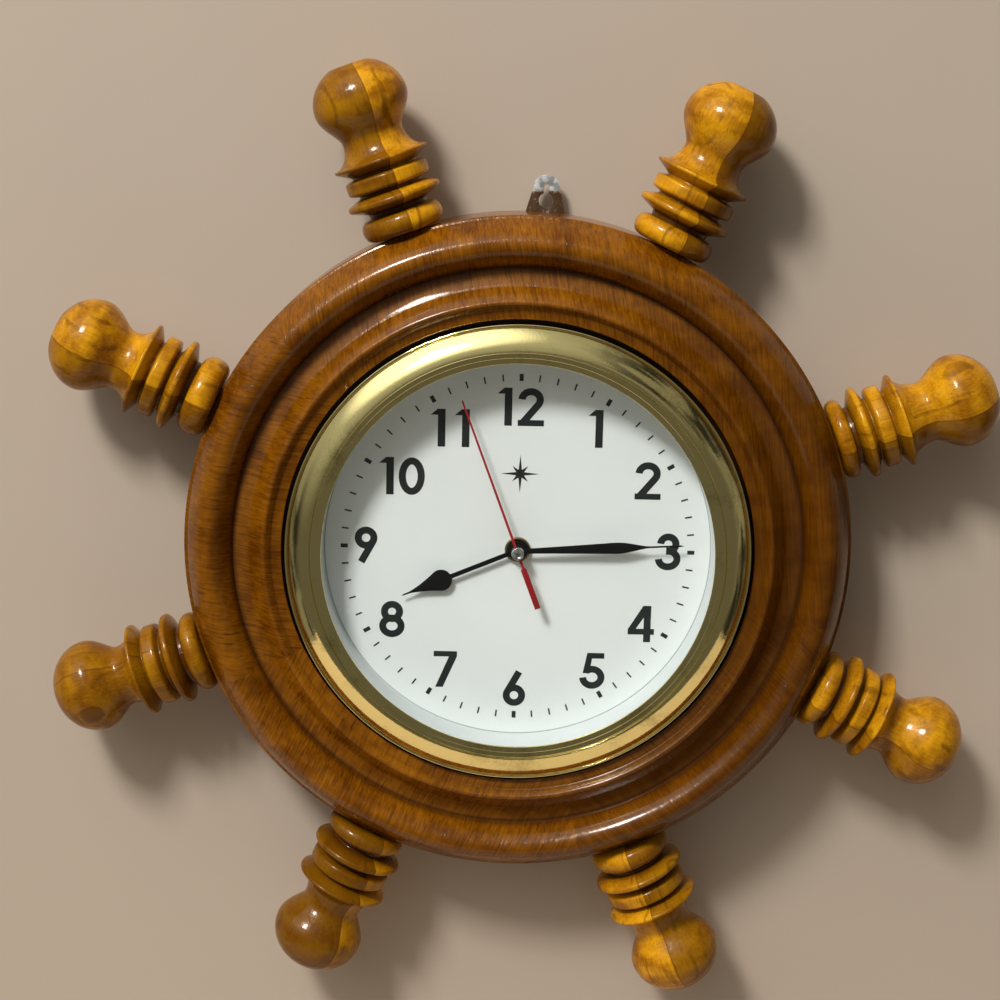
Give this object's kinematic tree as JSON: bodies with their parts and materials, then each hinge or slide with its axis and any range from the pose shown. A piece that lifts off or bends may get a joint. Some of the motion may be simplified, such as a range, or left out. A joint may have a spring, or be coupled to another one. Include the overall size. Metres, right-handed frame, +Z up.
{
  "type": "ship wheel clock",
  "caption": "Wall clock shaped as a ship's wheel: a moulded wooden rim with turned handles, a brass bezel under glass, a dial with hands, a quartz movement and a keyhole hanger.",
  "frame": {"origin": "the round end of the hanger's keyhole slot, in the plane of the wall, where the nail carries the clock", "axes": "+Y points from the dial into the wall, along the wheel's axis; +Z is up; +X is to the viewer's right"},
  "size_m": [0.4217, 0.0474, 0.4203],
  "materials": {
    "rim_wood": "gloss varnish over red-brown stained wood",
    "handle_wood": "gloss varnish over golden wood, two halves glued along the length",
    "brass": "polished",
    "clear_glass": "clear, polished",
    "white_plastic": "satin white",
    "dial_paint": "satin white with black print",
    "fibre_board": "bare pressed fibre board",
    "black_paint": "satin black",
    "red_paint": "satin red",
    "steel": "zinc plated",
    "rubber": "matt",
    "wheel_plastic": "moulded",
    "case_plastic": "fine grained black",
    "circuit": "green solder resist",
    "copper_wire": "enamelled winding",
    "battery_sleeve": "plain printed sleeve over a steel can"
  },
  "bodies": {
    "wheel": {"wheel_rim": "rim_wood", "handle_1": "handle_wood", "handle_2": "handle_wood", "handle_3": "handle_wood", "handle_4": "handle_wood", "handle_5": "handle_wood", "handle_6": "handle_wood", "handle_7": "handle_wood", "handle_8": "handle_wood", "hanger_tab": "steel", "hanger_screw_1": "steel", "hanger_screw_2": "steel", "bezel": "brass", "glass": "clear_glass", "spacer_ring": "white_plastic", "dial": "dial_paint", "dial_board": "fibre_board", "board_screw_1": "steel", "board_screw_2": "steel", "board_screw_3": "steel", "board_screw_4": "steel", "rubber_washer": "rubber", "dial_washer": "brass", "shaft_nut": "brass", "stator": "steel", "drive_coil": "copper_wire", "circuit_board": "circuit", "quartz_crystal": "steel", "movement_case": "case_plastic", "movement_cover": "case_plastic", "contact_plus": "steel", "contact_minus": "steel"},
    "hour_hand": {"hour_hand": "black_paint", "hour_wheel": "wheel_plastic"},
    "minute_hand": {"minute_hand": "black_paint", "minute_arbor": "brass"},
    "second_hand": {"second_hand": "red_paint", "second_wheel": "steel"},
    "motion_wheel": {"motion_wheel": "wheel_plastic"},
    "setting_knob": {"setting_knob": "case_plastic"},
    "centre_wheel": {"centre_wheel": "wheel_plastic"},
    "third_wheel": {"third_wheel": "wheel_plastic"},
    "reduction_wheel": {"reduction_wheel": "wheel_plastic"},
    "rotor": {"rotor": "steel"},
    "battery": {"battery": "battery_sleeve"}
  },
  "joints": [
    {"name": "minute_hand_turn", "type": "hinge", "parent": "wheel", "child": "minute_hand", "pos_m": [-0.0032, -0.0319, -0.1598], "axis": [0, 1, 0], "continuous": true},
    {"name": "hour_hand_turn", "type": "hinge", "parent": "wheel", "child": "hour_hand", "pos_m": [-0.0032, -0.0301, -0.1598], "axis": [0, 1, 0], "continuous": true},
    {"name": "motion_wheel_turn", "type": "hinge", "parent": "wheel", "child": "motion_wheel", "pos_m": [-0.01461, -0.0131, -0.15609], "axis": [0, 1, 0], "continuous": true},
    {"name": "setting_knob_turn", "type": "hinge", "parent": "wheel", "child": "setting_knob", "pos_m": [-0.0167, -0.0029, -0.14427], "axis": [0, 1, 0], "continuous": true},
    {"name": "second_hand_turn", "type": "hinge", "parent": "wheel", "child": "second_hand", "pos_m": [-0.0032, -0.035, -0.1598], "axis": [0, 1, 0], "continuous": true},
    {"name": "reduction_wheel_turn", "type": "hinge", "parent": "wheel", "child": "reduction_wheel", "pos_m": [0.00742, -0.0131, -0.15635], "axis": [0, 1, 0], "continuous": true},
    {"name": "rotor_turn", "type": "hinge", "parent": "wheel", "child": "rotor", "pos_m": [0.01673, -0.0131, -0.15471], "axis": [0, 1, 0], "continuous": true},
    {"name": "third_wheel_turn", "type": "hinge", "parent": "wheel", "child": "third_wheel", "pos_m": [-0.0032, -0.0131, -0.14863], "axis": [0, 1, 0], "continuous": true},
    {"name": "centre_wheel_turn", "type": "hinge", "parent": "wheel", "child": "centre_wheel", "pos_m": [-0.0032, -0.0142, -0.1598], "axis": [0, 1, 0], "continuous": true},
    {"name": "battery_lift", "type": "slide", "parent": "wheel", "child": "battery", "axis": [0, 1, 0], "range_m": [0, 0.03]}
  ],
  "couplings": [
    {"joint": "hour_hand_turn", "follows": "minute_hand_turn", "ratio": 0.083333},
    {"joint": "motion_wheel_turn", "follows": "minute_hand_turn", "ratio": -0.33333},
    {"joint": "setting_knob_turn", "follows": "minute_hand_turn", "ratio": 1},
    {"joint": "reduction_wheel_turn", "follows": "second_hand_turn", "ratio": -5},
    {"joint": "rotor_turn", "follows": "second_hand_turn", "ratio": 30},
    {"joint": "third_wheel_turn", "follows": "second_hand_turn", "ratio": -0.125},
    {"joint": "centre_wheel_turn", "follows": "second_hand_turn", "ratio": 0.016667}
  ]
}
